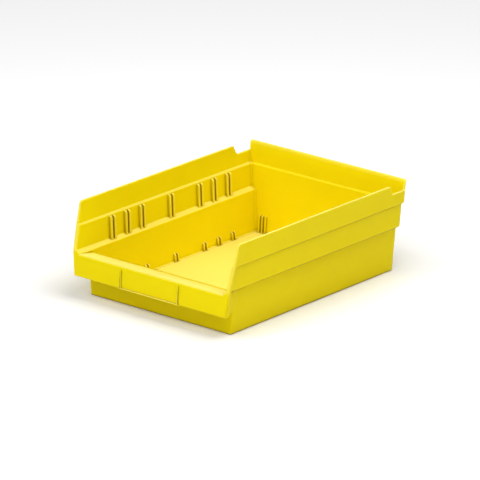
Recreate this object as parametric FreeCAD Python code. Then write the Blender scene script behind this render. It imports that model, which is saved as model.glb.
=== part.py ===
"""Hopper-front nesting shelf bin, one polypropylene moulding split into its moulded features.

Origin: middle of the base. +X right, +Y towards the back wall, +Z up. Millimetres.
"""
import FreeCAD, Part
import os

from FreeCAD import Vector

os.makedirs("parts", exist_ok=True)

# ---- overall sizes -------------------------------------------------------------------------
LENGTH = 295.3
WIDTH = 212.7
HEIGHT = 101.6
WALL = 2.4
FLOOR = 2.4

# ---- the three tiers: height and outer half width of each bend in the side wall -------------
LOWER_TOP_Z, LOWER_TOP_X = 47.2, 96.1
MIDDLE_FOOT_Z, MIDDLE_FOOT_X = 50.7, 101.0
MIDDLE_TOP_Z, MIDDLE_TOP_X = 74.9, 102.3
UPPER_FOOT_Z, UPPER_FOOT_X = 76.9, 104.6
BASE_X = 93.3
LEDGE_RISE = 1.1          # the inner face turns this much higher than the outer face
LOWER_SPLIT_Z = 49.5      # joint planes, through the middle of each ledge
UPPER_SPLIT_Z = 76.6

# ---- the back wall, outer face --------------------------------------------------------------
BACK_BASE_Y = 142.0
BACK_MIDDLE_Y = 144.0
BACK_UPPER_Y = 145.3
BACK_TOP_Y = LENGTH / 2
HANG_LIP_Z = 90.8         # the side walls drop to this height behind their notch
HANG_LIP_HALF_X = 105.7
BACK_CORNER_R = 4.0
BACK_INNER_R = 2.0
BACK_SPLIT_Y = 134.0

# ---- side walls -----------------------------------------------------------------------------
SIDE_TOP_Z = 100.9
NOTCH_TOP_Y = 116.2
NOTCH_FOOT_Y = 121.6
SIDE_FRONT_FOOT_Y = -145.2
SIDE_FRONT_SLOPE = 0.257  # the front edge leans back this much for each millimetre of height

# ---- front wall and label lip ---------------------------------------------------------------
FRONT_BASE_Y = -128.5
FRONT_TOP_Y = -130.2
FRONT_SPLIT_Y = -124.0
LABEL_PROUD = 1.2
LIP_Y = -LENGTH / 2 + LABEL_PROUD
LIP_TOP_Y = -145.3
LIP_BOTTOM_Z = 24.0
LIP_TOP_Z = 48.6
LIP_FALL = 0.7            # the top of the lip falls towards the front
LIP_BEND_R = 3.4
LIP_WALL = 2.2
LIP_BOTTOM_X = 98.9
LIP_TOP_X = 100.6

# ---- label holder on the lip ----------------------------------------------------------------
LABEL_HALF_X = 37.0
LABEL_RAIL_W = 2.0
LABEL_LEDGE_H = 1.3
LABEL_TOP_Z = 44.4

# ---- divider ribs ---------------------------------------------------------------------------
SLOT_MID_Y = 6.2
SLOT_PITCH = 23.7
SLOT_STEPS = (-4, -3, -2, 0, 2, 3, 4)
SLOT_GAP = 2.8
RIB_W = 2.6
RIB_DEPTH = 3.0
RIB_TOP_DROP = 1.6
FOOT_RIB_H = 9.5
FOOT_RIB_W = 1.6
FOOT_RIB_DEPTH = 2.6
FOOT_RIB_DROP = 2.0
END_RIB_X = (76.9, 81.0, 85.1)
END_RIB_W = 1.4
END_RIB_H = 22.0
END_RIB_DEPTH = 2.2

FAR = 400.0


def box(x0, x1, y0, y1, z0, z1):
    return Part.makeBox(x1 - x0, y1 - y0, z1 - z0, Vector(x0, y0, z0))


def polygon(points):
    return Part.makePolygon([Vector(*p) for p in list(points) + [points[0]]])


def prism(points, direction):
    return Part.Face(polygon(points)).extrude(Vector(*direction))


def rounded_outline(half_x, y_front, y_back, r, z):
    """Rectangle with its two back corners rounded."""
    s = r * 0.5 ** 0.5
    left, right = -half_x, half_x
    a = Vector(left, y_back - r, z)
    b = Vector(left + r, y_back, z)
    c = Vector(right - r, y_back, z)
    d = Vector(right, y_back - r, z)
    e = Vector(right, y_front, z)
    f = Vector(left, y_front, z)
    mid_left = Vector(left + r - s, y_back - r + s, z)
    mid_right = Vector(right - r + s, y_back - r + s, z)
    edges = [
        Part.Arc(a, mid_left, b).toShape(),
        Part.makeLine(b, c),
        Part.Arc(c, mid_right, d).toShape(),
        Part.makeLine(d, e),
        Part.makeLine(e, f),
        Part.makeLine(f, a),
    ]
    return Part.Wire(edges)


def at_height(profile, z):
    """Value of a bent line, given as (height, value) pairs, at height z."""
    for (z0, v0), (z1, v1) in zip(profile, profile[1:]):
        if z <= z1:
            break
    return v0 + (v1 - v0) * (z - z0) / (z1 - z0)


SIDE_OUTER = [
    (0.0, BASE_X),
    (LOWER_TOP_Z, LOWER_TOP_X),
    (MIDDLE_FOOT_Z, MIDDLE_FOOT_X),
    (MIDDLE_TOP_Z, MIDDLE_TOP_X),
    (UPPER_FOOT_Z, UPPER_FOOT_X),
    (SIDE_TOP_Z, WIDTH / 2),
]
BACK_OUTER = [
    (0.0, BACK_BASE_Y),
    (MIDDLE_TOP_Z, BACK_MIDDLE_Y),
    (UPPER_FOOT_Z, BACK_UPPER_Y),
    (SIDE_TOP_Z, BACK_UPPER_Y + 0.4),
]
FRONT_OUTER = [(0.0, FRONT_BASE_Y), (LOWER_TOP_Z, FRONT_TOP_Y)]


def tub(heights, y_front, inset, rise, r):
    """Solid through the tier outlines at these heights, drawn in by inset and raised by rise."""
    wires = []
    for z in heights:
        half_x = at_height(SIDE_OUTER, z) - inset
        y_back = at_height(BACK_OUTER, z) - inset
        front = at_height(FRONT_OUTER, z) + inset if y_front is None else y_front
        wires.append(rounded_outline(half_x, front, y_back, r, z + rise))
    return Part.makeLoft(wires, True, True)


UPPER_HEIGHTS = (LOWER_TOP_Z, MIDDLE_FOOT_Z, MIDDLE_TOP_Z, UPPER_FOOT_Z, SIDE_TOP_Z)


def side_and_back_shell():
    """All three tiers of the side walls and the back wall, without floor or front."""
    lower = tub((0.0, LOWER_TOP_Z), None, 0.0, 0.0, BACK_CORNER_R)
    upper = tub(UPPER_HEIGHTS, -FAR / 2, 0.0, 0.0, BACK_CORNER_R)
    lower_room = tub((0.0, LOWER_TOP_Z), None, WALL, LEDGE_RISE, BACK_INNER_R)
    upper_room = tub(UPPER_HEIGHTS, -FAR / 2 - 10, WALL, LEDGE_RISE, BACK_INNER_R)
    lower_walls = lower.cut(lower_room).cut(upper_room)
    upper_walls = upper.cut(upper_room).cut(lower_room)
    return lower_walls, upper_walls


def front_edge_cutter():
    """Everything in front of the sloping front edges of the side walls."""
    y_top = SIDE_FRONT_FOOT_Y + SIDE_FRONT_SLOPE * (HEIGHT + 20 - MIDDLE_FOOT_Z)
    y_foot = SIDE_FRONT_FOOT_Y - SIDE_FRONT_SLOPE * (MIDDLE_FOOT_Z - LOWER_SPLIT_Z)
    profile = [
        (-FAR, -FAR, LOWER_SPLIT_Z - 40),
        (-FAR, y_foot, LOWER_SPLIT_Z - 40),
        (-FAR, y_foot, LOWER_SPLIT_Z),
        (-FAR, y_top, HEIGHT + 20),
        (-FAR, -FAR, HEIGHT + 20),
    ]
    return prism(profile, (2 * FAR, 0, 0))


def notch_cutter():
    """The space above the lowered rear end of the side walls."""
    slope = (NOTCH_FOOT_Y - NOTCH_TOP_Y) / (SIDE_TOP_Z - HANG_LIP_Z)
    y_top = NOTCH_FOOT_Y - slope * (HEIGHT + 20 - HANG_LIP_Z)
    profile = [
        (-FAR, NOTCH_FOOT_Y, HANG_LIP_Z),
        (-FAR, FAR, HANG_LIP_Z),
        (-FAR, FAR, HEIGHT + 20),
        (-FAR, y_top, HEIGHT + 20),
    ]
    return prism(profile, (2 * FAR, 0, 0))


def mirrored(shape):
    return shape.mirror(Vector(0, 0, 0), Vector(1, 0, 0))


def side_inner(z):
    return at_height(SIDE_OUTER, z - LEDGE_RISE) - WALL


def side_ribs(z_foot, z_wall, z_top, width, depth, drop):
    """Rib pairs on the right wall, with one divider slot between the ribs of each pair.

    The ribs start at z_foot, stand depth proud of the wall from z_wall up, and slope off
    by drop at the top.
    """
    bury = WALL / 2
    section = [
        (side_inner(z_wall) + bury, z_foot),
        (side_inner(z_wall) - depth, z_foot),
        (side_inner(z_top) - depth, z_top - drop),
        (side_inner(z_top) + bury, z_top),
    ]
    ribs = []
    for step in SLOT_STEPS:
        middle = SLOT_MID_Y + SLOT_PITCH * step
        for y in (middle - SLOT_GAP / 2 - width, middle + SLOT_GAP / 2):
            ribs.append(prism([(x, y, z) for x, z in section], (0, width, 0)))
    return ribs


def end_ribs(y_face, inward):
    """Three short ribs on each half of an end wall; y_face gives the wall's inner face."""
    ribs = []
    for x in END_RIB_X:
        section = [
            (x - END_RIB_W / 2, y_face(FLOOR) - inward * WALL / 2, FLOOR),
            (x - END_RIB_W / 2, y_face(FLOOR) + inward * END_RIB_DEPTH, FLOOR),
            (x - END_RIB_W / 2, y_face(END_RIB_H) + inward * END_RIB_DEPTH, END_RIB_H - 1.5),
            (x - END_RIB_W / 2, y_face(END_RIB_H) - inward * WALL / 2, END_RIB_H + 0.6),
        ]
        rib = prism(section, (END_RIB_W, 0, 0))
        ribs += [rib, mirrored(rib)]
    return ribs


def back_inner(z):
    return at_height(BACK_OUTER, z) - WALL


def front_inner(z):
    return at_height(FRONT_OUTER, z) + WALL


def one_solid(shape):
    """Clean result of a boolean; the largest solid, as every feature is one body."""
    shape = shape.removeSplitter()
    return max(shape.Solids, key=lambda s: s.Volume)


def floor_panel():
    return tub((0.0, LOWER_TOP_Z), None, 0.0, 0.0, BACK_CORNER_R).common(
        box(-FAR, FAR, -FAR, FAR, 0, FLOOR))


def right_lower_tier(lower_walls, upper_walls):
    zone = box(0, FAR, FRONT_SPLIT_Y, BACK_SPLIT_Y, FLOOR, LOWER_SPLIT_Z)
    wall = lower_walls.fuse(upper_walls).common(zone)
    top = FLOOR + FOOT_RIB_H
    ribs = side_ribs(FLOOR, FLOOR, top, FOOT_RIB_W, FOOT_RIB_DEPTH, FOOT_RIB_DROP)
    return one_solid(wall.fuse(ribs))


def right_middle_tier(upper_walls):
    zone = box(0, FAR, -FAR, BACK_SPLIT_Y, LOWER_SPLIT_Z, UPPER_SPLIT_Z)
    return one_solid(upper_walls.common(zone).cut(front_edge_cutter()))


def right_divider_ribs():
    """The rib pairs of the middle tier, standing on its inner face and on the lower ledge."""
    foot = MIDDLE_FOOT_Z + LEDGE_RISE
    top = MIDDLE_TOP_Z + LEDGE_RISE
    ribs = side_ribs(LOWER_SPLIT_Z, foot, top, RIB_W, RIB_DEPTH, RIB_TOP_DROP)
    room = tub(UPPER_HEIGHTS, -FAR, WALL, LEDGE_RISE, BACK_INNER_R)
    return Part.makeCompound([one_solid(rib.common(room)) for rib in ribs])


def right_upper_tier(upper_walls):
    zone = box(0, FAR, -FAR, BACK_SPLIT_Y, UPPER_SPLIT_Z, FAR)
    wall = upper_walls.common(zone).cut(front_edge_cutter()).cut(notch_cutter())
    return one_solid(wall)


def back_wall_lower(lower_walls, upper_walls):
    zone = box(-FAR, FAR, BACK_SPLIT_Y, FAR, FLOOR, UPPER_SPLIT_Z)
    wall = lower_walls.fuse(upper_walls).common(zone)
    return one_solid(wall.fuse(end_ribs(back_inner, -1)))


def back_wall_upper(upper_walls):
    zone = box(-FAR, FAR, BACK_SPLIT_Y, FAR, UPPER_SPLIT_Z, HANG_LIP_Z)
    return one_solid(upper_walls.common(zone))


def rear_hang_lip():
    """Plate along the top of the back wall, leaning back, with rounded top corners."""
    y_foot = at_height(BACK_OUTER, HANG_LIP_Z)
    profile = [
        (-HANG_LIP_HALF_X, y_foot - WALL, HANG_LIP_Z),
        (-HANG_LIP_HALF_X, y_foot, HANG_LIP_Z),
        (-HANG_LIP_HALF_X, BACK_TOP_Y, HEIGHT),
        (-HANG_LIP_HALF_X, BACK_TOP_Y - WALL, HEIGHT),
    ]
    plate = prism(profile, (2 * HANG_LIP_HALF_X, 0, 0))
    ends = [e for e in plate.Edges if is_end_edge(e)]
    return plate.makeFillet(3.5, ends)


def is_end_edge(edge):
    """The two short top edges across the ends of the hang lip."""
    a, b = (v.Point for v in edge.Vertexes)
    at_top = min(a.z, b.z) > HEIGHT - 0.01
    return at_top and abs(a.x - b.x) < 0.01


def front_wall(lower_walls):
    top = LIP_TOP_Z - LIP_WALL
    zone = box(-FAR, FAR, -FAR, FRONT_SPLIT_Y, FLOOR, top)
    return one_solid(lower_walls.common(zone).fuse(end_ribs(front_inner, 1)))


def lip_quad(rear_x, front_x, y_rear, y_front, z):
    points = [
        (-rear_x, y_rear, z),
        (-front_x, y_front, z),
        (front_x, y_front, z),
        (rear_x, y_rear, z),
    ]
    return polygon(points)


def lip_block(inset):
    """Space taken by the lip between its end caps, drawn in by inset at both ends."""
    low_x = at_height(SIDE_OUTER, LIP_BOTTOM_Z)
    low_y = at_height(FRONT_OUTER, LIP_BOTTOM_Z)
    wires = [
        lip_quad(low_x - inset, LIP_BOTTOM_X - inset, low_y, LIP_Y, LIP_BOTTOM_Z),
        lip_quad(LOWER_TOP_X - inset, LIP_TOP_X - inset, FRONT_TOP_Y, LIP_TOP_Y, LOWER_TOP_Z),
        lip_quad(MIDDLE_FOOT_X - inset, MIDDLE_FOOT_X - inset, FRONT_TOP_Y,
                 SIDE_FRONT_FOOT_Y, MIDDLE_FOOT_Z),
    ]
    return Part.makeLoft(wires, True, True)


def lip_section():
    """Section of the lip: top flange, bend and front skirt, as a face in the YZ plane."""
    y_in = front_inner(LIP_TOP_Z - LIP_WALL)
    z_front = LIP_TOP_Z - LIP_FALL
    lean = (LIP_Y - LIP_TOP_Y) / (LOWER_TOP_Z - LIP_BOTTOM_Z)
    y_corner = LIP_TOP_Y - lean * (LOWER_TOP_Z - z_front)
    outer = [
        (0, y_in, LIP_TOP_Z),
        (0, y_corner, z_front),
        (0, LIP_Y, LIP_BOTTOM_Z),
    ]
    inner = [
        (0, LIP_Y + LIP_WALL, LIP_BOTTOM_Z),
        (0, y_corner + LIP_WALL, z_front - LIP_WALL),
        (0, FRONT_TOP_Y, LIP_TOP_Z - LIP_WALL),
        (0, y_in, LIP_TOP_Z - LIP_WALL),
    ]
    return Part.Face(polygon(outer + inner))


def front_lip():
    sheet = lip_section().extrude(Vector(2 * FAR, 0, 0))
    sheet.translate(Vector(-FAR, 0, 0))
    bend = [e for e in sheet.Edges if is_lip_bend(e, 0.0)]
    sheet = sheet.makeFillet(LIP_BEND_R, bend)
    bend = [e for e in sheet.Edges if is_lip_bend(e, LIP_WALL)]
    sheet = sheet.makeFillet(LIP_BEND_R - LIP_WALL, bend)
    half_x = side_inner(LOWER_TOP_Z)
    over_wall = box(-half_x, half_x, FRONT_TOP_Y - 1.0, 0, 0, HEIGHT)
    return one_solid(sheet.common(lip_block(LIP_WALL).fuse(over_wall)))


def is_lip_bend(edge, inset):
    """The long edge where the flange turns down into the skirt."""
    p = edge.Vertexes[0].Point
    q = edge.Vertexes[-1].Point
    near_front = LIP_TOP_Y - 0.5 + inset < p.y < LIP_TOP_Y + 0.9 + inset
    near_top = abs(p.z - (LIP_TOP_Z - LIP_FALL - inset)) < 0.2
    return near_front and near_top and abs(p.x - q.x) > FAR


def right_lip_end_cap(lower_walls, upper_walls):
    upper_room = tub(UPPER_HEIGHTS, -FAR, WALL, LEDGE_RISE, BACK_INNER_R)
    cap = lip_block(0.0).cut(lip_block(LIP_WALL)).cut(upper_room)
    cap = cap.common(box(0, FAR, -FAR, FRONT_TOP_Y, 0, LOWER_SPLIT_Z))
    wall_top = LIP_TOP_Z - LIP_WALL
    shoulder = lower_walls.fuse(upper_walls).common(
        box(0, FAR, FRONT_TOP_Y, FRONT_SPLIT_Y, wall_top, LOWER_SPLIT_Z))
    return one_solid(cap.fuse(shoulder).cut(front_lip()))


def label_holder():
    """Two upright rails and the ledge under them, standing proud of the lip's skirt."""
    lean = (LIP_Y - LIP_TOP_Y) / (LOWER_TOP_Z - LIP_BOTTOM_Z)

    def skirt_y(z):
        return LIP_Y - lean * (z - LIP_BOTTOM_Z)

    def strip(z0, z1, x0, x1):
        points = [
            (x0, skirt_y(z0), z0),
            (x0, skirt_y(z0) - LABEL_PROUD, z0),
            (x0, skirt_y(z1) - LABEL_PROUD, z1),
            (x0, skirt_y(z1), z1),
        ]
        return prism(points, (x1 - x0, 0, 0))

    outer_x = LABEL_HALF_X + LABEL_RAIL_W
    ledge = strip(LIP_BOTTOM_Z, LIP_BOTTOM_Z + LABEL_LEDGE_H, -outer_x, outer_x)
    rail = strip(LIP_BOTTOM_Z, LABEL_TOP_Z, LABEL_HALF_X, outer_x)
    return one_solid(ledge.fuse([rail, mirrored(rail)]))


def export(name, shape):
    shape.exportStep("parts/" + name + ".step")


def main():
    lower_walls, upper_walls = side_and_back_shell()
    export("floor_panel", floor_panel())
    export("front_wall", front_wall(lower_walls))
    export("front_lip", front_lip())
    export("label_holder", label_holder())
    export("back_wall_lower", back_wall_lower(lower_walls, upper_walls))
    export("back_wall_upper", back_wall_upper(upper_walls))
    export("rear_hang_lip", rear_hang_lip())
    sided = {
        "lower_tier": right_lower_tier(lower_walls, upper_walls),
        "middle_tier": right_middle_tier(upper_walls),
        "upper_tier": right_upper_tier(upper_walls),
        "divider_ribs": right_divider_ribs(),
        "lip_end_cap": right_lip_end_cap(lower_walls, upper_walls),
    }
    for name, shape in sided.items():
        export("right_" + name, shape)
        export("left_" + name, mirrored(shape))


main()
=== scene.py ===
"""Hopper-front nesting shelf bin: visual model over the CAD frame. The bin is drawn in millimetres."""
import math

import bmesh
import bpy
from mathutils import Matrix, Vector


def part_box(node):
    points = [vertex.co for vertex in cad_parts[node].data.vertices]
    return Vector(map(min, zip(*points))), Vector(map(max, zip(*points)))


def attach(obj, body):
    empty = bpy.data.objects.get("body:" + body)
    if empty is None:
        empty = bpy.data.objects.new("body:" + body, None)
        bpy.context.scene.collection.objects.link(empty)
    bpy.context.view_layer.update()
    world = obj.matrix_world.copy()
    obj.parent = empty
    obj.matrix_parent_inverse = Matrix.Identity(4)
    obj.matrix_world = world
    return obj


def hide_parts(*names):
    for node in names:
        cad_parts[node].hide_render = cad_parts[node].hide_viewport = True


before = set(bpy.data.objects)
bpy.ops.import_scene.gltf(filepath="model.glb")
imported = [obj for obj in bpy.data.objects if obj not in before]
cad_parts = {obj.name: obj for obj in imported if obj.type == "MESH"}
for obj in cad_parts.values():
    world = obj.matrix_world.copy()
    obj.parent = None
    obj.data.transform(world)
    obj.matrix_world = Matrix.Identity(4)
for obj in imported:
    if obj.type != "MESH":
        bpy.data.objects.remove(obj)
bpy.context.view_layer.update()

MM = 0.001

for leftover in ("Cube", "Light", "Camera"):
    if leftover in bpy.data.objects:
        bpy.data.objects.remove(bpy.data.objects[leftover])


def frame_box(node):
    lo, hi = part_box(node)
    return lo / MM, hi / MM


# ---- sizes taken from the frame --------------------------------------------------------------
UPPER_HI = frame_box("right_upper_tier")[1]
HANG_LO, HANG_HI = frame_box("rear_hang_lip")
FLOOR_HI = frame_box("floor_panel")[1]
LIP_LO, LIP_HI = frame_box("front_lip")
LABEL_LO, LABEL_HI = frame_box("label_holder")
RIBS_LO, RIBS_HI = frame_box("right_divider_ribs")

TOP_Z = HANG_HI.z
SIDE_TOP_Z = UPPER_HI.z
HANG_LIP_Z = HANG_LO.z
HANG_LIP_Y = HANG_HI.y
HALF_WIDTH = UPPER_HI.x
FLOOR_TOP = FLOOR_HI.z
LIP_FOOT_Z = LIP_LO.z
LIP_TOP_Z = LIP_HI.z
LIP_Y = LIP_LO.y

# ---- driving sizes of the moulding -----------------------------------------------------------
WALL = 2.4
RISE = 1.1                                  # the inner ledges sit this much above the outer ones
RIM_R = 0.95                                # rounding of every free edge
RIM_STEPS, CORNER_STEPS = 4, 4
HALF_STEPS = 16                             # faces from the middle of the bin to a corner

# Outer face of a side, as (half width, height), where it turns.
BASE = (93.3, 0.0)
LOWER_TOP = (96.1, 47.2)
MIDDLE_FOOT, MIDDLE_TOP = (101.0, 50.7), (102.3, 74.9)
UPPER_FOOT = (104.6, 76.9)
REGULAR_TOP_Z = 78.8                        # above this the rows fan out to the sloping free edge
FLOOR_INSET = 5.3                           # flat underside starts this far in
BASE_R, LOWER_R, UPPER_R, FILLET_R = 1.6, 1.2, 1.1, 2.0
FILLET_X = 89.0                             # the inner floor's fillet starts here
LIP_FACE_Z = 44.0                           # top of the front wall, under the lip's flange
LOWER_ROWS = (FLOOR_TOP, 3.4, 4.4, 5.6, 7, 9, 12, LIP_FOOT_Z, 29, 34, 39, LIP_FACE_Z)
MIDDLE_ROWS = (60, 68)
LOWER_JOINT_Z, UPPER_JOINT_Z = 49.5, 75.9   # joints between the tiers
HANG_SPLIT = 12.0 / 22.8                    # the hang lip's joint, as a share of the upper rows
UPPER_STEPS = [0.13, 0.26, 0.39, HANG_SPLIT, 0.62, 0.71, 0.79, 0.86, 0.92, 0.965, 1.0]

# Back and front, as y. The back is an outer face, like the sides.
BACK_LINE = [(0.0, 142.0), (74.9, 144.0), (76.9, 145.3), (100.9, 145.7)]
LEAN_FROM_Z = 80.0                          # the hang lip leans back above this
FRONT_BASE_Y, FRONT_SLOPE = -128.5, -1.7 / 47.2
FRONT_RIM_Y = -145.2                        # front edge at the middle tier's foot
FRONT_LEAN = 0.257                          # slope of the front edge above it
SPLIT_BACK_Y, SPLIT_FRONT_Y = 134.0, -124.0     # joints of the sides with the back and front
REAR_R, REAR_R_IN = 4.0, 2.0
FRONT_R, FRONT_R_IN = 1.5, 0.8

# The free edge is laid out flat: u runs along the back to U_CORNER, round the rear corner to
# U_SIDE, and then forwards along the side from y = Y_SIDE.
U_CORNER, U_SIDE, Y_SIDE = 101.5, 107.78, 141.6
HANG_END_TOP_U, HANG_END_FOOT_U = 104.4, 104.7
HANG_END_R, HANG_FOOT_R = 3.0, 0.8
NOTCH_FOOT_Y, NOTCH_HEAD_Y, NOTCH_R = 121.6, 116.2, 1.6
FRONT_CORNER_R = 3.2
SIDE_LAST_Y = -120.0                        # the side's last station on the free edge
EVEN_FROM_Y = 112.0                         # the stations spread out evenly in front of this

# The front edge, as (z, half width), and how the walls spread out to it.
FRONT_RIM_X = [(0.0, 98.0), (24.0, 100.7), (48.0, 103.4), (76.0, 105.6), (100.9, HALF_WIDTH)]
FLARE_LENGTH = 8.0
FLARE_LEAD = 1.5                            # the flare is complete this far behind the edge
INNER_FLARE = 0.3                           # share of it on the inner face, above the lip's skirt
CHEEK_Y, CHEEK_LENGTH = -128.7, 15.3        # the lip's cheeks spread over this longer stretch


# ---- helpers ---------------------------------------------------------------------------------
def clamp(value):
    return max(0.0, min(1.0, value))


def lerp(a, b, t):
    return a + (b - a) * t


def smooth(t):
    t = clamp(t)
    return t * t * (3 - 2 * t)


def along(line, z):
    """The value at z of a line of (z, value) points; the last value holds above its end."""
    for (z0, v0), (z1, v1) in zip(line, line[1:]):
        if z <= z1:
            return lerp(v0, v1, (z - z0) / (z1 - z0))
    return v1


def rounded(points, steps=4):
    """Polyline through (a, b, r) points; r rounds that corner with steps + 1 points."""
    out = []
    for i, (a, b, r) in enumerate(points):
        here = Vector((a, b))
        if r is None:
            out.append((a, b))
            continue
        before = Vector(points[i - 1][:2]) - here
        after = Vector(points[(i + 1) % len(points)][:2]) - here
        d0, d1 = before.normalized(), after.normalized()
        half = d0.angle(d1) / 2
        centre = here + (d0 + d1).normalized() * (r / math.sin(half))
        start = here + d0 * (r / math.tan(half)) - centre
        sweep = math.pi - 2 * half
        turn = 1 if start.x * d1.y - start.y * d1.x > 0 else -1
        for k in range(steps + 1):
            t = turn * sweep * k / steps
            c, s = math.cos(t), math.sin(t)
            out.append((centre.x + start.x * c - start.y * s, centre.y + start.x * s + start.y * c))
    return out


def between(low, high, z):
    """The point at height z of the line from low to high, as a corner without a radius."""
    return (lerp(low[0], high[0], (z - low[1]) / (high[1] - low[1])), z, None)


def upper_x(z):
    return lerp(UPPER_FOOT[0], HALF_WIDTH, (z - UPPER_FOOT[1]) / (TOP_Z - UPPER_FOOT[1]))


# ---- rows: the section of the side wall ------------------------------------------------------
OUTER = rounded([
    (BASE[0] - FLOOR_INSET, 0, None), (*BASE, BASE_R),
    *(between(BASE, LOWER_TOP, z) for z in LOWER_ROWS),
    (*LOWER_TOP, LOWER_R), between(LOWER_TOP, MIDDLE_FOOT, LOWER_JOINT_Z), (*MIDDLE_FOOT, LOWER_R),
    *(between(MIDDLE_FOOT, MIDDLE_TOP, z) for z in MIDDLE_ROWS),
    (*MIDDLE_TOP, UPPER_R), between(MIDDLE_TOP, UPPER_FOOT, UPPER_JOINT_Z), (*UPPER_FOOT, UPPER_R),
    (upper_x(REGULAR_TOP_Z), REGULAR_TOP_Z, None),
])
FILLET_FOOT_X, FILLET_HEAD_X = (between(BASE, LOWER_TOP, z)[0] - WALL for z in (FLOOR_TOP, 12))
INNER_FILLET = rounded([
    (FILLET_X, FLOOR_TOP, None), (FILLET_FOOT_X, FLOOR_TOP, FILLET_R), (FILLET_HEAD_X, 12, None),
])
ROW_FLOOR, ROW_LIP_FOOT, ROW_LIP, ROW_LOWER, ROW_MIDDLE, ROW_UPPER = (
    [z for _, z in OUTER].index(level)
    for level in (FLOOR_TOP, LIP_FOOT_Z, LIP_FACE_Z, LOWER_JOINT_Z, UPPER_JOINT_Z, REGULAR_TOP_Z)
)
ROW_FILLET_END = ROW_FLOOR + 5              # the last row of the fillet's arc


def base_line_x(z):
    return between(BASE, LOWER_TOP, z)[0]


def rise(z):
    """How much higher the inner face turns than the outer one."""
    start, length = LIP_FOOT_Z + 1, 18
    return RISE * smooth((z - start) / length)


def back_y(z):
    """Outer back face, which ends in the soft curve of the hang lip."""
    lean = clamp((z - LEAN_FROM_Z) / (TOP_Z - LEAN_FROM_Z)) ** 3 * (HANG_LIP_Y - BACK_LINE[-1][1])
    return along(BACK_LINE, z) + lean


def front_edge_y(z):
    """Front edge of the lip's skirt, and of the side wall above it."""
    if z > MIDDLE_FOOT[1]:
        return FRONT_RIM_Y + FRONT_LEAN * (z - MIDDLE_FOOT[1])
    return lerp(LIP_Y, FRONT_RIM_Y, (z - LIP_FOOT_Z) / (MIDDLE_FOOT[1] - LIP_FOOT_Z))


def front_face_y(z):
    """Outer face of the front wall, under the lip."""
    return FRONT_BASE_Y + FRONT_SLOPE * z


def section(row, inner):
    """x, back y, front y, z, rear radius and front radius of the outline at one row."""
    x, z = OUTER[row]
    inset = max(base_line_x(z) - x, 0.0) if row < ROW_FLOOR else 0.0
    if not inner:
        return (x, back_y(z) - inset, front_face_y(z) + inset, z,
                max(REAR_R - inset, 0.0), max(FRONT_R - inset, 0.0))
    if row <= ROW_FILLET_END:
        x, z = INNER_FILLET[max(row - ROW_FLOOR, 0)]
        inset = base_line_x(z) - WALL - x
        inset = 0.0 if row == ROW_FILLET_END else max(inset, 0.0)
        return (x, back_y(z) - WALL - inset, front_face_y(z) + WALL + inset, z,
                max(REAR_R_IN - inset, 0.0), max(FRONT_R_IN - inset, 0.0))
    return (x - WALL, back_y(z) - WALL, front_face_y(z) + WALL, z + rise(z), REAR_R_IN, FRONT_R_IN)


# ---- stations: the way round the bin, from the middle of the back to the front edge ----------
def y_to_u(y):
    return U_SIDE + Y_SIDE - y


def top_edge():
    """Developed (u, z) of the free edge: hang lip, notch, side top, front top corner."""
    def run(a, b, n):
        return [(lerp(a[0], b[0], k / n), lerp(a[1], b[1], k / n)) for k in range(1, n + 1)]

    corner_foot_z = 90.0
    front, low = (y_to_u(front_edge_y(z)) for z in (SIDE_TOP_Z, corner_foot_z))
    lip_end = rounded([(0, TOP_Z, None), (HANG_END_TOP_U, TOP_Z, HANG_END_R),
                       (HANG_END_FOOT_U, HANG_LIP_Z, HANG_FOOT_R), (140, HANG_LIP_Z, None)], 5)
    notch = rounded([(100, HANG_LIP_Z, None), (y_to_u(NOTCH_FOOT_Y), HANG_LIP_Z, NOTCH_R),
                     (y_to_u(NOTCH_HEAD_Y), SIDE_TOP_Z, NOTCH_R), (200, SIDE_TOP_Z, None)], 3)
    corner = rounded([(200, SIDE_TOP_Z, None), (front, SIDE_TOP_Z, FRONT_CORNER_R),
                      (low, corner_foot_z, None)], 5)
    arc_a, arc_b = lip_end[1:7], lip_end[7:13]
    foot, head = notch[1:5], notch[5:9]
    tip = corner[1:7]
    edge = [(0.0, TOP_Z)] + run((0, TOP_Z), arc_a[0], HALF_STEPS) + arc_a[1:]
    edge += run(arc_a[-1], arc_b[0], 3) + arc_b[1:]
    edge += run(arc_b[-1], (y_to_u(SPLIT_BACK_Y), HANG_LIP_Z), 3)
    split_back = len(edge) - 1
    edge += run(edge[-1], foot[0], 4) + foot[1:] + run(foot[-1], head[0], 4) + head[1:]
    edge += run(head[-1], (y_to_u(SIDE_LAST_Y), SIDE_TOP_Z), 42)
    split_front = len(edge) - 1
    edge += run(edge[-1], tip[0], 3) + tip[1:]
    return edge, split_back, split_front


EDGE, SPLIT_BACK, SPLIT_FRONT = top_edge()
LIP_ARC = HALF_STEPS                        # first column of the hang lip's rounded end


def inset_edge(edge, amount):
    """The same line moved inwards, where the flat skins stop and the rounded rim begins."""
    out = []
    for i, (u, z) in enumerate(edge):
        before = Vector(edge[max(i - 1, 0)])
        after = Vector(edge[min(i + 1, len(edge) - 1)])
        if i == len(edge) - 1:
            after = Vector((u, z)) + Vector((-FRONT_LEAN, -1.0))
        along_edge = (Vector((u, z)) - before).normalized() + (after - Vector((u, z))).normalized()
        if i == 0:
            along_edge = Vector((1, 0))
        along_edge.normalize()
        out.append((u + along_edge.y * amount, z - along_edge.x * amount))
    return out


INSET = inset_edge(EDGE, RIM_R)
COLS = len(EDGE) - 1
LIP_END = LIP_ARC + 12                      # and nearly the last one of its foot
FRONT_COLS = COLS - SPLIT_FRONT
HANG_COLS = LIP_END - 3                     # the hang lip's own piece ends at this column


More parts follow.
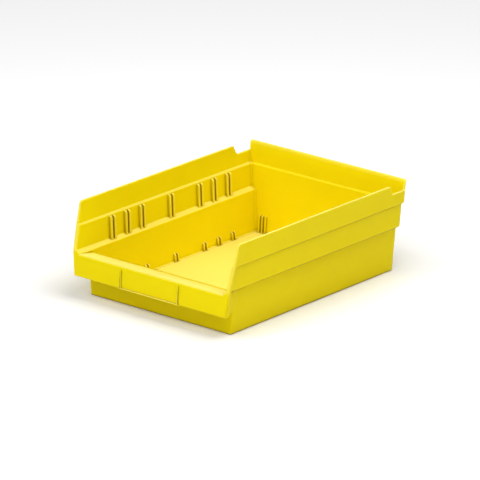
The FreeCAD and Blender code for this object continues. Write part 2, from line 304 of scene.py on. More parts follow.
def base_u():
    """Where each column stands at the foot of the upper tier."""
    least_step = 0.45
    u = [e[0] for e in EDGE]
    first, last = LIP_ARC - 2, LIP_END + 2
    for i in range(first, last + 1):
        u[i] = lerp(EDGE[first][0], EDGE[last][0], (i - first) / (last - first))
    start = y_to_u(EVEN_FROM_Y)
    scale = (y_to_u(SPLIT_FRONT_Y) - start) / (EDGE[SPLIT_FRONT][0] - start)
    for i in range(SPLIT_BACK, SPLIT_FRONT + 1):
        if u[i] > start:
            u[i] = start + (u[i] - start) * scale
    for i in range(SPLIT_BACK + 1, SPLIT_FRONT):
        u[i] = max(u[i], u[i - 1] + least_step)
    return u


BASE_U = base_u()
LIP_REACH = front_edge_y(LIP_FACE_Z) + RIM_R - SPLIT_FRONT_Y
CORNER_GAP = (front_face_y(LIP_FACE_Z) + FRONT_R - SPLIT_FRONT_Y) / LIP_REACH
FRONT_G = [0.0] + [lerp(CORNER_GAP, 1.0, k / (FRONT_COLS - 1)) for k in range(FRONT_COLS)]


def flare(y, z, inner, x):
    """The side walls and the lip's cheeks spread outwards to meet one straight front edge."""
    target = along(FRONT_RIM_X, z) - (WALL if inner else 0.0)
    back = front_edge_y(z) + FLARE_LEAD
    wide = smooth((back + FLARE_LENGTH - y) / FLARE_LENGTH)
    if inner:
        thick_from, thick_at = 36.0, 41.0
        wide *= lerp(1.0, INNER_FLARE, smooth((z - thick_from) / (thick_at - thick_from)))
    if z < MIDDLE_FOOT[1]:
        full_below, none_above = 38.0, 42.0
        fade = smooth((none_above - z) / (none_above - full_below)) if inner else 1.0
        wide = max(wide, smooth((CHEEK_Y - y) / CHEEK_LENGTH) * fade)
    return max(target - x, 0.0) * wide


def ring_point(u, x, y_back, z, r):
    """The point at u of the outline with half width x, back y_back and rear radius r."""
    if u <= U_CORNER:
        return (u / U_CORNER * (x - r), y_back, z)
    if u <= U_SIDE:
        a = math.pi / 2 * (U_SIDE - u) / (U_SIDE - U_CORNER)
        return (x - r + r * math.cos(a), y_back - r + r * math.sin(a), z)
    y = U_SIDE + Y_SIDE - u
    if y > SPLIT_BACK_Y:
        y = lerp(y_back - r, SPLIT_BACK_Y, (Y_SIDE - y) / (Y_SIDE - SPLIT_BACK_Y))
    return (x, y, z)


def regular_point(row, col, inner, to_edge=False):
    """A point of the outer or inner skin; the last column stops RIM_R short of the front edge."""
    x, y_back, _, z, r, _ = section(row, inner)
    if row == ROW_LIP_FOOT and col > SPLIT_FRONT:
        z += RIM_R
    if col <= SPLIT_FRONT:
        return ring_point(BASE_U[col], x, y_back, z, r)
    g = FRONT_G[col - SPLIT_FRONT]
    end = front_edge_y(z) + (0.0 if to_edge else RIM_R)
    if row >= ROW_LIP:
        y = lerp(SPLIT_FRONT_Y, end, g)
    else:
        start = front_face_y(z) + (0.0 if inner else FRONT_R)
        y = lerp(start, end, (g - CORNER_GAP) / (1 - CORNER_GAP))
    return (x + flare(y, z, inner, x), y, z)


def upper_point(step, col, inner, to_edge=False):
    """A point of the upper tier's skin; step 1 is the inset edge, or the free edge itself."""
    u0, z0 = BASE_U[col], REGULAR_TOP_Z
    if col > SPLIT_FRONT:
        y0 = lerp(SPLIT_FRONT_Y, front_edge_y(z0) + RIM_R, FRONT_G[col - SPLIT_FRONT])
        u0 = y_to_u(y0)
    u1, z1 = INSET[col]
    if col == COLS:
        u1 = y_to_u(front_edge_y(z1)) - RIM_R
    u, z = lerp(u0, u1, step), lerp(z0, z1, step)
    if to_edge:
        u, z = EDGE[col] if step == 1.0 else (y_to_u(front_edge_y(z)), z)
    thick = WALL if inner else 0.0
    lift = RISE * (1 - smooth(step * 2)) if inner else 0.0
    r = REAR_R_IN if inner else REAR_R
    x, y, z = ring_point(u, upper_x(z + lift) - thick, back_y(z + lift) - thick, z + lift, r)
    if y < SPLIT_FRONT_Y:
        x += flare(y, z, inner, x)
    return (x, y, z)


# ---- the half shell --------------------------------------------------------------------------
class Shell:
    """Outer and inner skin as one list of points and faces; pair joins each point to the one behind."""

    def __init__(self):
        self.index, self.points, self.faces, self.pair = {}, [], [], {}
        self.rim = set()

    def vertex(self, p):
        place = tuple(round(c, 3) for c in p)
        if place not in self.index:
            self.index[place] = len(self.points)
            self.points.append(p)
        return self.index[place]

    def both(self, outer, inner):
        a, b = self.vertex(outer), self.vertex(inner)
        self.pair[a], self.pair[b] = b, a
        return a

    def face(self, loop, piece):
        loop = [v for i, v in enumerate(loop) if v != loop[i - 1]]
        if len(loop) > 2 and len(set(loop)) == len(loop):
            self.faces.append((loop, piece))

    def cell(self, a, b, c, d, piece):
        """One outer face and the inner face behind it."""
        self.face([a, b, c, d], piece)
        self.face([self.pair[d], self.pair[c], self.pair[b], self.pair[a]], piece)

    def profile(self, a, out_a, out_b):
        """Rounded rim section from an outer skin point to the inner one behind it."""
        b = self.pair[a]
        outer, inner = Vector(self.points[a]), Vector(self.points[b])
        across = (inner - outer).normalized()
        ring = [a]
        for k in range(1, RIM_STEPS + 1):
            t = math.pi / 2 * k / RIM_STEPS
            step = across * (1 - math.cos(t)) + out_a * math.sin(t)
            ring.append(self.vertex(outer + RIM_R * step))
        for k in range(RIM_STEPS, 0, -1):
            t = math.pi / 2 * k / RIM_STEPS
            step = out_b * math.sin(t) - across * (1 - math.cos(t))
            ring.append(self.vertex(inner + RIM_R * step))
        self.rim.update(key(self.points[v]) for v in ring[1:])
        return ring + [b]

    def sweep(self, rings, pieces):
        for one, two, piece in zip(rings, rings[1:], pieces):
            for k in range(len(one) - 1):
                self.face([one[k], two[k], two[k + 1], one[k + 1]], piece)


def piece_at(row, col):
    """Which piece the skin between this row and column and the next ones belongs to."""
    if col < SPLIT_BACK:
        return "back_wall_lower" if row < ROW_MIDDLE else "back_wall_upper"
    if row < ROW_LOWER:
        return "right_lower_tier" if col < SPLIT_FRONT else "right_lip_end_cap"
    return "right_middle_tier" if row < ROW_MIDDLE else "right_upper_tier"


def half_shell():
    """The right half of the moulding, without the lip, the ribs and the label holder."""
    shell = Shell()
    grid = {}
    for row in range(ROW_FLOOR, ROW_UPPER + 1):
        for col in range(COLS + 1):
            if col > SPLIT_FRONT and row < ROW_LIP_FOOT:
                continue
            grid[row, col] = shell.both(regular_point(row, col, False), regular_point(row, col, True))
    for k, step in enumerate(UPPER_STEPS):
        row = ROW_UPPER + 1 + k
        for col in range(COLS + 1):
            grid[row, col] = shell.both(upper_point(step, col, False), upper_point(step, col, True))
    last_row = ROW_UPPER + len(UPPER_STEPS)
    row_hang = ROW_UPPER + 1 + UPPER_STEPS.index(HANG_SPLIT)
    for row in range(ROW_FLOOR, last_row):
        for col in range(COLS):
            below_cheek = row < ROW_LIP_FOOT and col >= SPLIT_FRONT
            behind_front_wall = row < ROW_LIP and col == SPLIT_FRONT
            if below_cheek or behind_front_wall:
                continue
            piece = "rear_hang_lip" if row >= row_hang and col < HANG_COLS else piece_at(row, col)
            shell.cell(grid[row, col], grid[row, col + 1], grid[row + 1, col + 1], grid[row + 1, col], piece)
    free_edge(shell, grid, last_row)
    front_wrap(shell, grid)
    return shell


def free_edge(shell, grid, last_row):
    """The rounded rim: along the top, down the front edge and back under the cheek."""
    def away(tip, a):
        return [(Vector(t) - Vector(shell.points[v])).normalized() for t, v in zip(tip, (a, shell.pair[a]))]

    rings, pieces = [], []
    for col in range(COLS + 1):
        tip = [upper_point(1.0, col, inner, True) for inner in (False, True)]
        rings.append(shell.profile(grid[last_row, col], *away(tip, grid[last_row, col])))
        pieces.append("rear_hang_lip" if col < HANG_COLS else piece_at(ROW_UPPER, col))
    pieces[-1] = "right_upper_tier"
    for row in range(last_row - 1, ROW_LIP_FOOT - 1, -1):
        if row > ROW_UPPER:
            step = UPPER_STEPS[row - ROW_UPPER - 1]
            tip = [upper_point(step, COLS, inner, True) for inner in (False, True)]
        else:
            tip = [regular_point(row, COLS, inner, True) for inner in (False, True)]
        rings.append(shell.profile(grid[row, COLS], *away(tip, grid[row, COLS])))
        pieces.append(piece_at(row - 1, COLS))
    down = Vector((0, 0, -1))
    corner = grid[ROW_LIP_FOOT, COLS]
    forward = away([regular_point(ROW_LIP_FOOT, COLS, inner, True) for inner in (False, True)], corner)
    for k in range(1, CORNER_STEPS + 1):
        t = math.pi / 2 * k / CORNER_STEPS
        rings.append(shell.profile(corner, *[f * math.cos(t) + down * math.sin(t) for f in forward]))
        pieces.append("right_lip_end_cap")
    for col in range(COLS - 1, SPLIT_FRONT, -1):
        rings.append(shell.profile(grid[ROW_LIP_FOOT, col], down, down))
        pieces.append("right_lip_end_cap")
    shell.sweep(rings, pieces)


def wrap_points(row, inner):
    """The front corner and front wall at one row, from the split line to the middle."""
    x, _, y_front, z, _, r = section(row, inner)
    pts = [(x, y_front + r, z)]
    for k in range(1, CORNER_STEPS + 1):
        a = math.pi / 2 * k / CORNER_STEPS
        pts.append((x - r + r * math.cos(a), y_front + r - r * math.sin(a), z))
    return pts + [((x - r) * (1 - k / HALF_STEPS), y_front, z) for k in range(1, HALF_STEPS + 1)]


def front_wrap(shell, grid):
    """The front wall with its corner, joined to the side along the split line."""
    count = len(wrap_points(0, False))
    wrap = {}
    for row in range(ROW_FLOOR, ROW_LIP + 1):
        wrap[row, -1] = grid[row, SPLIT_FRONT]
        for k, (o, i) in enumerate(zip(wrap_points(row, False), wrap_points(row, True))):
            a, b = shell.vertex(o), shell.vertex(i)
            shell.pair.setdefault(a, b)
            shell.pair.setdefault(b, a)
            wrap[row, k] = a
    for row in range(ROW_FLOOR, ROW_LIP):
        for k in range(-1, count - 1):
            a, b, c, d = wrap[row, k], wrap[row, k + 1], wrap[row + 1, k + 1], wrap[row + 1, k]
            inner = [shell.vertex(wrap_points(r, True)[j]) if j >= 0 else shell.pair[grid[r, SPLIT_FRONT]]
                     for r, j in ((row + 1, k), (row + 1, k + 1), (row, k + 1), (row, k))]
            shell.face([a, b, c, d], "front_wall")
            shell.face(inner, "front_wall")
    floor_panel(shell, count)


def floor_panel(shell, count):
    """Underside with its rounded edge, and the inner floor."""
    rings = []
    for row in range(ROW_FLOOR + 1):
        ring = [shell.vertex(regular_point(row, col, False)) for col in range(SPLIT_FRONT + 1)]
        rings.append(ring + [shell.vertex(p) for p in wrap_points(row, False)])
    for low, high in zip(rings, rings[1:]):
        for k in range(len(low) - 1):
            shell.face([low[k], low[k + 1], high[k + 1], high[k]], "floor_panel")
    shell.face(list(reversed(rings[0])), "floor_panel")
    ring = [shell.vertex(regular_point(ROW_FLOOR, col, True)) for col in range(SPLIT_FRONT + 1)]
    shell.face(ring + [shell.vertex(p) for p in wrap_points(ROW_FLOOR, True)], "floor_panel")


def key(co):
    """A place rounded to 0.01 mm, to find the points that pieces share."""
    return tuple(round(c, 2) for c in co)


def shell_mesh(shell, names):
    """The half shell as one mesh, each face tagged with its piece."""
    bm = bmesh.new()
    tag = bm.faces.layers.int.new("piece")
    verts = [bm.verts.new(p) for p in shell.points]
    for loop, piece in shell.faces:
        f = bm.faces.new([verts[i] for i in loop])
        f[tag] = names.index(piece)
    return bm


def take(bm, names, piece, shell):
    """One piece of the shell, closed across its joint faces."""
    part = bm.copy()
    tag = part.faces.layers.int["piece"]
    other = [f for f in part.faces if f[tag] != names.index(piece)]
    bmesh.ops.delete(part, geom=other, context="FACES")
    hidden = part.faces.layers.int.new("hidden")
    by_key = {key(v.co): v for v in part.verts}
    origin = {key(p): i for i, p in enumerate(shell.points)}
    done = set()
    for e in [e for e in part.edges if e.is_boundary]:
        a, b = (origin.get(key(v.co)) for v in e.verts)
        if a is None or b is None or all(abs(v.co.x) < 1e-4 for v in e.verts):
            continue
        if a not in shell.pair or b not in shell.pair:
            continue
        pa, pb = (by_key.get(key(shell.points[shell.pair[k]])) for k in (a, b))
        if pa is None or pb is None or pa is pb:
            continue
        back = part.edges.get((pa, pb))
        mark = tuple(sorted((a, b, shell.pair[a], shell.pair[b])))
        if back is None or not back.is_boundary or mark in done:
            continue
        done.add(mark)
        loop = e.link_loops[0]
        start, end = loop.vert, loop.link_loop_next.vert
        other_start = pa if start is e.verts[0] else pb
        other_end = pb if start is e.verts[0] else pa
        quad = [end, start, other_start, other_end]
        if len(set(quad)) == 4:
            f = part.faces.new(quad)
            f[hidden] = 1
    return part


def close(part):
    """Fills what is still open, where the piece meets its neighbours."""
    hidden = part.faces.layers.int["hidden"]
    loops = [e for e in part.edges if e.is_boundary]
    made = bmesh.ops.holes_fill(part, edges=loops, sides=0)
    for f in made["faces"]:
        f[hidden] = 1
    bmesh.ops.triangulate(part, faces=[f for f in part.faces if len(f.verts) > 4])
    bmesh.ops.recalc_face_normals(part, faces=part.faces)
    return part


def mirror_weld(part):
    """Adds the left half and joins the two along the middle."""
    geom = part.verts[:] + part.edges[:] + part.faces[:]
    copy = bmesh.ops.duplicate(part, geom=geom)["geom"]
    for v in copy:
        if isinstance(v, bmesh.types.BMVert):
            v.co.x = -v.co.x
    bmesh.ops.reverse_faces(part, faces=[f for f in copy if isinstance(f, bmesh.types.BMFace)])
    middle = [v for v in part.verts if abs(v.co.x) < 1e-4]
    bmesh.ops.remove_doubles(part, verts=middle, dist=1e-3)
    return part


def mirrored(part):
    other = part.copy()
    for v in other.verts:
        v.co.x = -v.co.x
    bmesh.ops.reverse_faces(other, faces=other.faces)
    return other


# ---- lip, ribs and label holder --------------------------------------------------------------
LIP_PROUD = 0.25                            # the lip's face stands just clear of the wall edges
LIP_STEPS = 24
SKIRT_WALL = 2.2
SKIRT_HEIGHTS = (43, 41, 39, 36, 33, 29)
FLANGE_DROP, FLANGE_DIP = 0.7, 2.3          # fall of its top to the bend, and its thickness
LIP_TOP_R, LIP_BEND_R, HOLLOW_BEND_R, HOLLOW_R = 1.3, 3.4, 1.4, 0.8


def lip_outline():
    """Closed (y, z) section of the lip: wall top, flange, bend, skirt and the hollow behind it."""
    face = front_face_y(LIP_FACE_Z)
    draft = 0.1
    bend_y, bend_z = front_edge_y(LIP_TOP_Z - FLANGE_DROP) - LIP_PROUD, LIP_TOP_Z - FLANGE_DROP
    down = [(front_edge_y(z) - LIP_PROUD, z, None) for z in SKIRT_HEIGHTS]
    up = [(front_edge_y(z) + SKIRT_WALL, z, None) for z in reversed(SKIRT_HEIGHTS)]
    return rounded([
        (face + WALL, LIP_FACE_Z, None), (face + WALL - draft, LIP_TOP_Z, LIP_TOP_R),
        (bend_y, bend_z, LIP_BEND_R), *down, (LIP_Y, LIP_FOOT_Z, RIM_R),
        (LIP_Y + SKIRT_WALL, LIP_FOOT_Z, RIM_R), *up,
        (bend_y + FLANGE_DIP, bend_z - WALL, HOLLOW_BEND_R),
        (face - draft, LIP_TOP_Z - FLANGE_DIP, HOLLOW_R), (face, LIP_FACE_Z, None),
    ], 6)


def lip_end_x(y, z):
    """Where the lip ends: inside the side wall, and across the wall's rounded front edge."""
    across_from, across_at = 5.0, 2.0
    x = side_inner_x(z)
    inside = x + flare(y, z, True, x) + RIM_R
    behind_edge = y - front_edge_y(z)
    across = smooth((across_from - behind_edge) / (across_from - across_at))
    return lerp(inside, along(FRONT_RIM_X, z) - RIM_R, across)


def lip_piece():
    part = bmesh.new()
    hidden = part.faces.layers.int.new("hidden")
    outline = lip_outline()
    rings = []
    for k in range(LIP_STEPS + 1):
        ring = []
        for y, z in outline:
            ring.append(part.verts.new((lip_end_x(y, z) * k / LIP_STEPS, y, z)))
        rings.append(ring)
    for a, b in zip(rings, rings[1:]):
        for k in range(len(outline)):
            n = (k + 1) % len(outline)
            f = part.faces.new((a[k], a[n], b[n], b[k]))
            if k == len(outline) - 1:
                f[hidden] = 1
    end = part.faces.new(rings[-1])
    end[hidden] = 1
    mirror_weld(part)
    return close(part)


def add_prism(part, outline, place, width, bevel):
    """Closed prism over a 2-D outline with softened edges; place maps (a, b, c) to a point."""
    low = [part.verts.new(place(a, b, -width / 2)) for a, b in outline]
    high = [part.verts.new(place(a, b, width / 2)) for a, b in outline]
    faces = [part.faces.new(low), part.faces.new(list(reversed(high)))]
    for i in range(len(outline)):
        n = (i + 1) % len(outline)
        faces.append(part.faces.new((low[n], low[i], high[i], high[n])))
    bmesh.ops.recalc_face_normals(part, faces=faces)
    edges = {e for f in faces for e in f.edges}
    bmesh.ops.bevel(part, geom=list(edges), offset=bevel, offset_type="OFFSET", segments=2,
                    profile=0.5, affect="EDGES", clamp_overlap=True)


def side_inner_x(z):
    """Inner face of the side wall, above the floor's fillet."""
    rows = [(o[1] + rise(o[1]), o[0] - WALL) for o in OUTER[ROW_FILLET_END + 1:]]
    return along([(0.0, BASE[0] - WALL)] + rows, z)


SLOT_MID_Y, SLOT_PITCH, SLOT_STEPS, SLOT_GAP = 6.2, 23.7, (-4, -3, -2, 0, 2, 3, 4), 2.8
RIB_W, RIB_DEPTH, RIB_DROP, RIB_EDGE = 2.6, 3.0, 0.7, 0.35
FOOT_W, FOOT_DEPTH, FOOT_DROP, FOOT_H = 1.6, 2.6, 2.0, 9.5
END_RIB_X, END_RIB_W, END_RIB_H, END_RIB_DEPTH = (76.9, 81.0, 85.1), 1.4, 22.0, 2.2
SMALL_RIB_EDGE = 0.3
BURY = 0.5                                  # how far a rib reaches into the wall behind it
SINK = 0.3                                  # and into the floor below it


def slot_sides(width):
    """Middles of the two ribs of every divider slot, as y."""
    for step in SLOT_STEPS:
        middle = SLOT_MID_Y + SLOT_PITCH * step
        for way in (-1, 1):
            yield middle + way * (SLOT_GAP + width) / 2


def divider_ribs():
    """Rib pairs of the middle tier, each pair holding one divider slot."""
    part = bmesh.new()
    ledge_sink, corner, crest_back, chamfer = 0.6, 0.4, 1.2, 1.5
    top, foot = RIBS_HI.z, MIDDLE_FOOT[1] + RISE
    front_x = side_inner_x(foot + corner) - RIB_DEPTH
    crest_x = side_inner_x(top - chamfer) - RIB_DEPTH + crest_back
    outline = [
        (side_inner_x(foot) + BURY - SINK, foot - ledge_sink),
        (front_x, RIBS_LO.z - ledge_sink), (front_x, RIBS_LO.z + 1.0),
        (side_inner_x(top - RIB_DROP - chamfer) - RIB_DEPTH, top - RIB_DROP - chamfer - 0.1),
        (crest_x, top - RIB_DROP + 0.1), (side_inner_x(top) + BURY, top),
    ]
    for y in slot_sides(RIB_W):
        add_prism(part, outline, lambda a, b, c: (a, y + c, b), RIB_W, RIB_EDGE)
    return part


def add_foot_ribs(part):
    """Low rib pairs where the side meets the floor, under the divider slots."""
    top = FLOOR_TOP + FOOT_H
    outline = [
        (side_inner_x(FLOOR_TOP) + BURY, FLOOR_TOP - SINK),
        (side_inner_x(FLOOR_TOP) - FOOT_DEPTH, FLOOR_TOP - SINK),
        (side_inner_x(top) - FOOT_DEPTH, top - FOOT_DROP),
        (side_inner_x(top) + BURY, top),
    ]
    for y in slot_sides(FOOT_W):
        add_prism(part, outline, lambda a, b, c: (a, y + c, b), FOOT_W, SMALL_RIB_EDGE)


def add_end_ribs(part, face_y, inward):
    """Three upright ribs at each end of the back or front wall; inward is -1 or 1."""
    front_fall, back_rise = 1.5, 0.6
    for x in END_RIB_X:
        for side in (-1, 1):
            outline = [
                (face_y(FLOOR_TOP) - inward * BURY, FLOOR_TOP - SINK),
                (face_y(FLOOR_TOP) + inward * END_RIB_DEPTH, FLOOR_TOP - SINK),
                (face_y(END_RIB_H) + inward * END_RIB_DEPTH, END_RIB_H - front_fall),
                (face_y(END_RIB_H) - inward * BURY, END_RIB_H + back_rise),
            ]
            add_prism(part, outline, lambda a, b, c: (side * x + c, a, b), END_RIB_W, SMALL_RIB_EDGE)


def label_holder():
    """Two upright rails hooked over the card slot, and the ledge under them."""
    part = bmesh.new()
    rail_w, stem_share, flap_thick, top_fall = 2.0, 0.62, 0.45, 0.6
    ledge_front_h, ledge_back_h, ledge_short = 1.0, 1.3, 0.4
    foot, top, half = LABEL_LO.z, LABEL_HI.z, LABEL_HI.x
    foot_y, top_y, proud = front_edge_y(foot), front_edge_y(top), LIP_Y - LABEL_LO.y
    foot_face, top_face = (foot_y - proud, foot), (top_y - proud, top - top_fall)
    stem = [(foot_y + SINK, foot), foot_face, top_face, (top_y + SINK, top)]
    flap = [(foot_y - proud + flap_thick, foot), foot_face, top_face,
            (top_y - proud + flap_thick, top)]
    for side in (-1, 1):
        middle = side * (half - rail_w * 0.32)
        add_prism(part, stem, lambda a, b, c: (middle + c, a, b), rail_w * stem_share, 0.2)
        middle = side * (half - rail_w * 0.5)
        add_prism(part, flap, lambda a, b, c: (middle + c, a, b), rail_w, 0.15)
    ledge = [(foot_y + SINK, foot), foot_face,
             (foot_y - proud, foot + ledge_front_h), (foot_y + SINK, foot + ledge_back_h)]
    add_prism(part, ledge, lambda a, b, c: (c, a, b), 2 * half - ledge_short, 0.25)
    return part


# ---- build all the pieces --------------------------------------------------------------------
CENTRAL = ["floor_panel", "front_wall", "back_wall_lower", "back_wall_upper", "rear_hang_lip"]
RIGHT = ["right_lower_tier", "right_middle_tier", "right_upper_tier", "right_lip_end_cap"]


def build_all():
    """Every piece of the bin, in millimetres, and the places of its free edges."""
    names = CENTRAL + RIGHT
    shell = half_shell()
    bm = shell_mesh(shell, names)
    made = {}
    for name in CENTRAL:
        made[name] = close(mirror_weld(take(bm, names, name, shell)))
    for name in RIGHT:
        made[name] = close(take(bm, names, name, shell))
    add_foot_ribs(made["right_lower_tier"])
    add_end_ribs(made["back_wall_lower"], lambda z: back_y(z) - WALL, -1)
    add_end_ribs(made["front_wall"], lambda z: front_face_y(z) + WALL, 1)
    made["right_divider_ribs"] = divider_ribs()
    for name in RIGHT + ["right_divider_ribs"]:
        made[name.replace("right_", "left_")] = mirrored(made[name])
    made["front_lip"] = lip_piece()
    made["label_holder"] = label_holder()
    return made, shell.rim


SMOOTH_ANGLE = 48


def corner_normals(made):
    """Smooth normals shared by all the pieces, so that the joints don't show."""
    near = {}
    for part in made.values():
        hidden = part.faces.layers.int.get("hidden")
        part.normal_update()
        for f in part.faces:
            if hidden and f[hidden]:
                continue
            entry = (f.normal.copy(), f.calc_area())
            for v in f.verts:
                near.setdefault(key(v.co), []).append(entry)
    limit = math.cos(math.radians(SMOOTH_ANGLE))
    result = {}
    for name, part in made.items():
        hidden = part.faces.layers.int.get("hidden")
        normals = []
        for f in part.faces:
            own = f.normal
            for v in f.verts:
                total = Vector((0, 0, 0))
                if not (hidden and f[hidden]):
                    for normal, area in near[key(v.co)]:
                        if normal.dot(own) > limit:
                            total += normal * area
                normals.append(total.normalized() if total.length > 0 else own.copy())
        result[name] = normals
    return result


def painted_highlight(name, co, rim):
    """How much painted highlight the plastic gets, paler where light would catch: most on the free edges,
    then the lip, ribs and label ledge.
    """
    label, rib, foot_rib, lip, hang_lip = 0.8, 0.55, 0.6, 0.7, 0.6
    if name == "label_holder":
        return label if co.z < LABEL_LO.z + 1.5 else 0.0
    if name.endswith("divider_ribs"):
        return rib if abs(co.x) < side_inner_x(co.z) - 1.4 else 0.0
    if name.endswith("lower_tier") and co.z < FLOOR_TOP + FOOT_H:
        on_rib = abs(co.x) < side_inner_x(co.z) - 0.8 and co.z > FLOOR_TOP + 1
        return foot_rib if on_rib else 0.0
    if name == "front_lip":
        return lip * smooth((co.z - LIP_TOP_Z + 1.6) / 1.2)
    if key((abs(co.x), co.y, co.z)) in rim:
        return smooth((co.z - LIP_TOP_Z) / 4.0)
    if name == "rear_hang_lip":
        return hang_lip * smooth((co.z - TOP_Z + 4.5) / 3.0)
    return 0.0


def add_objects(made, rim, material):
    """Turns the pieces into objects in metres, each tied to its CAD part."""
    normals = corner_normals(made)
    for name, part in made.items():
        mesh = bpy.data.meshes.new("bin_" + name)
        # Painted highlight amounts per point, kept in the 'edge' attribute that the material mixes to a
        # paler yellow.
        edge = [painted_highlight(name, v.co, rim) for v in part.verts]
        for v in part.verts:
            v.co *= MM
        part.to_mesh(mesh)
        for polygon in mesh.polygons:
            polygon.use_smooth = True
        mesh.normals_split_custom_set([tuple(n) for n in normals[name]])
        mesh.materials.append(material)
        mesh.attributes.new("edge", "FLOAT", "POINT").data.foreach_set("value", edge)
        piece = bpy.data.objects.new("bin_" + name, mesh)
        bpy.context.scene.collection.objects.link(piece)
        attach(piece, "root")
        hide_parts(name)


# ---- material, floor, light and camera, in metres --------------------------------------------
def node(tree, kind, **inputs):
    """A new node with the named inputs set; _ in a name stands for a space."""
    n = tree.nodes.new(kind)
    for name, value in inputs.items():
        n.inputs[name.replace("_", " ")].default_value = value
    return n


def mix_to(tree, factor, colour):
    """Colour mix whose B side is the given colour."""
    mix = tree.nodes.new("ShaderNodeMix")
    mix.data_type = "RGBA"
    mix.inputs["B"].default_value = (*colour, 1)
    tree.links.new(factor, mix.inputs["Factor"])
    return mix


def plastic_colour(tree, noise):
    """Yellow in two close tones, with painted highlights on the rims and ledges and a painted sheen on faces
    that look up.
    """
    tone = tree.nodes.new("ShaderNodeValToRGB")
    low, high = tone.color_ramp.elements
    low.position, low.color = 0.3, (0.87, 0.70, 0.002, 1)
    high.position, high.color = 0.7, (0.91, 0.735, 0.003, 1)
    tree.links.new(noise.outputs["Fac"], tone.inputs["Fac"])
    edge = tree.nodes.new("ShaderNodeAttribute")
    edge.attribute_name = "edge"
    # Painted highlight: paler yellow wherever the 'edge' attribute is set.
    highlighted = mix_to(tree, edge.outputs["Fac"], (0.96, 0.80, 0.07))
    tree.links.new(tone.outputs["Color"], highlighted.inputs["A"])
    facing = tree.nodes.new("ShaderNodeNewGeometry")
    upward = tree.nodes.new("ShaderNodeSeparateXYZ")
    tree.links.new(facing.outputs["Normal"], upward.inputs["Vector"])
    # Painted sheen: faces that look up turn paler, standing in for the reflection of the bright light above
    # them.
    sheen_share = node(tree, "ShaderNodeMapRange", From_Min=0.5, From_Max=0.9, To_Max=0.16)
    tree.links.new(upward.outputs["Z"], sheen_share.inputs["Value"])
    up_sheen = mix_to(tree, sheen_share.outputs["Result"], (1.0, 0.95, 0.78))
    tree.links.new(highlighted.outputs["Result"], up_sheen.inputs["A"])
    return up_sheen, upward


def painted_shade(tree, upward):
    """Painted shade: 0 in tight corners and under overhangs, where shade is painted into the colour, and 1
    elsewhere.
    """
    crevice = tree.nodes.new("ShaderNodeAmbientOcclusion")
    crevice.samples = 8
    crevice.inputs["Distance"].default_value = 0.0045
    corner_shade = node(tree, "ShaderNodeMapRange", From_Min=0.3, From_Max=0.9)
    tree.links.new(crevice.outputs["AO"], corner_shade.inputs["Value"])
    under = node(tree, "ShaderNodeMapRange", From_Min=-0.7, From_Max=-0.2, To_Min=0.4)
    tree.links.new(upward.outputs["Z"], under.inputs["Value"])
    both = tree.nodes.new("ShaderNodeMath")
    both.operation = "MULTIPLY"
    tree.links.new(corner_shade.outputs["Result"], both.inputs[0])
    tree.links.new(under.outputs["Result"], both.inputs[1])
    return both


def bin_plastic():
    """Yellow moulded polypropylene: satin, faintly uneven, with a very fine grain, painted highlights on the
    rims, a painted sheen on up-facing faces and painted shade in corners and under overhangs.
    """
    mat = bpy.data.materials.new("bin_plastic_yellow")
    mat.use_nodes = True
    tree = mat.node_tree
    tree.nodes.clear()
    link = tree.links.new
    out = tree.nodes.new("ShaderNodeOutputMaterial")
    shader = node(tree, "ShaderNodeBsdfPrincipled", IOR=1.49, Specular_IOR_Level=0.06,
                  Specular_Tint=(1.0, 0.82, 0.2, 1))
    link(shader.outputs["BSDF"], out.inputs["Surface"])
    coords = tree.nodes.new("ShaderNodeTexCoord")
    cloud = node(tree, "ShaderNodeTexNoise", Scale=14.0, Detail=3.0, Roughness=0.55)
    link(coords.outputs["Object"], cloud.inputs["Vector"])
    colour, upward = plastic_colour(tree, cloud)
    # Painted shade: mixes in a dark brown-yellow in tight corners and under overhangs.
    shaded = tree.nodes.new("ShaderNodeMix")
    shaded.data_type = "RGBA"
    shaded.inputs["A"].default_value = (0.42, 0.29, 0.0, 1)
    link(painted_shade(tree, upward).outputs["Value"], shaded.inputs["Factor"])
    link(colour.outputs["Result"], shaded.inputs["B"])
    link(shaded.outputs["Result"], shader.inputs["Base Color"])
    gloss = node(tree, "ShaderNodeMapRange", To_Min=0.36, To_Max=0.46)
    link(cloud.outputs["Fac"], gloss.inputs["Value"])
    link(gloss.outputs["Result"], shader.inputs["Roughness"])
    grain = node(tree, "ShaderNodeTexNoise", Scale=900.0, Detail=2.0, Roughness=0.6)
    link(coords.outputs["Object"], grain.inputs["Vector"])
    bump = node(tree, "ShaderNodeBump", Strength=0.04, Distance=0.0002)
    link(grain.outputs["Fac"], bump.inputs["Height"])
    link(bump.outputs["Normal"], shader.inputs["Normal"])
    return mat


def plain(name, colour, roughness):
    mat = bpy.data.materials.new(name)
    mat.use_nodes = True
    shader = mat.node_tree.nodes["Principled BSDF"]
    shader.inputs["Base Color"].default_value = (*colour, 1)
    shader.inputs["Roughness"].default_value = roughness
    return mat


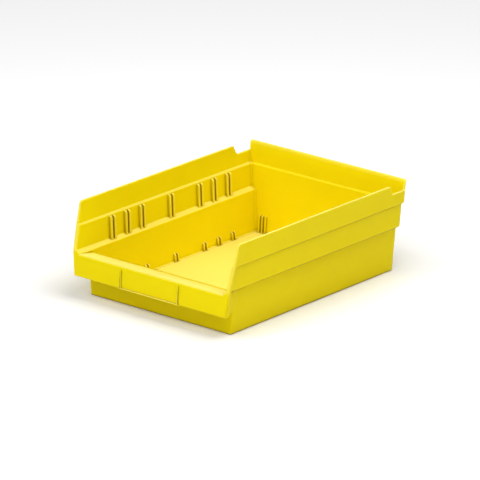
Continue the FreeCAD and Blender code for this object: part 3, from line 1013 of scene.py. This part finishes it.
def add_floor():
    """White floor whose glow grows away from the bin, so that it fades into the background."""
    half, gap_below_bin = 9, 0.0002
    mesh = bpy.data.meshes.new("studio_floor")
    corners = [(-half, -half, 0), (half, -half, 0), (half, half, 0), (-half, half, 0)]
    mesh.from_pydata(corners, [], [(0, 1, 2, 3)])
    white = plain("studio_white", (0.93, 0.93, 0.93), 0.9)
    tree = white.node_tree
    shader = tree.nodes["Principled BSDF"]
    shader.inputs["Emission Color"].default_value = (1, 1, 1, 1)
    coords = tree.nodes.new("ShaderNodeTexCoord")
    reach = tree.nodes.new("ShaderNodeVectorMath")
    reach.operation = "LENGTH"
    tree.links.new(coords.outputs["Object"], reach.inputs[0])
    glow = node(tree, "ShaderNodeMapRange", From_Min=0.1, From_Max=0.45, To_Min=0.05, To_Max=0.45)
    tree.links.new(reach.outputs["Value"], glow.inputs["Value"])
    tree.links.new(glow.outputs["Result"], shader.inputs["Emission Strength"])
    mesh.materials.append(white)
    floor = bpy.data.objects.new("studio_floor", mesh)
    floor.location.z = -gap_below_bin
    bpy.context.scene.collection.objects.link(floor)


def direction(azimuth, elevation):
    """Unit vector from the bin; azimuth 0 is the front, and it grows towards the right side."""
    a, e = math.radians(azimuth), math.radians(elevation)
    return Vector((math.sin(a) * math.cos(e), -math.cos(a) * math.cos(e), math.sin(e)))


def add_light(name, azimuth, elevation, distance, size, power):
    """Square area light aimed at the bin; metres and watts."""
    data = bpy.data.lights.new(name, "AREA")
    data.shape = "SQUARE"
    data.size = size
    data.energy = power
    lamp = bpy.data.objects.new(name, data)
    way = direction(azimuth, elevation)
    lamp.location = way * distance
    lamp.rotation_mode = "QUATERNION"
    lamp.rotation_quaternion = (-way).to_track_quat("-Z", "Y")
    bpy.context.scene.collection.objects.link(lamp)


def add_world(strength):
    world = bpy.data.worlds.new("studio")
    world.use_nodes = True
    back = world.node_tree.nodes["Background"]
    back.inputs["Color"].default_value = (1, 1, 1, 1)
    back.inputs["Strength"].default_value = strength
    bpy.context.scene.world = world


def add_camera():
    """Long lens on the bin, from above its right front corner."""
    azimuth, elevation, roll, distance, lens_mm = 38.8, 18.73, 0.93, 5.44786, 393.43575
    aim, aim_right, aim_up = Vector((0, 0, 0.045)), 0.00019, 0.00299
    a, r = math.radians(azimuth), math.radians(roll)
    back = direction(azimuth, elevation)
    right = Vector((math.cos(a), math.sin(a), 0))
    up = back.cross(right)
    x_axis = right * math.cos(r) + up * math.sin(r)
    y_axis = up * math.cos(r) - right * math.sin(r)
    target = aim + x_axis * aim_right + y_axis * aim_up
    data = bpy.data.cameras.new("camera")
    data.sensor_width = 36
    data.lens = lens_mm
    data.clip_start, data.clip_end = 0.5, 60
    camera = bpy.data.objects.new("camera", data)
    turn = Matrix((x_axis, y_axis, back)).transposed()
    camera.matrix_world = Matrix.Translation(target + back * distance) @ turn.to_4x4()
    bpy.context.scene.collection.objects.link(camera)
    bpy.context.scene.camera = camera


# Each light: name, azimuth, elevation, distance, size, power.
LIGHTS = [
    ("key", -25, 50, 2.4, 1.2, 21),
    ("camera_side", 26, 38, 2.6, 1.4, 15),
    ("left_back", -141, 34, 2.6, 1.6, 4),
    ("right_back", 150, 48, 2.6, 1.4, 12.5),
    ("above", 90, 76, 0.75, 0.5, 3.6),
]

add_objects(*build_all(), bin_plastic())
add_floor()
for light in LIGHTS:
    add_light(*light)
add_world(0.02)
add_camera()
bpy.context.scene.view_settings.view_transform = "Standard"
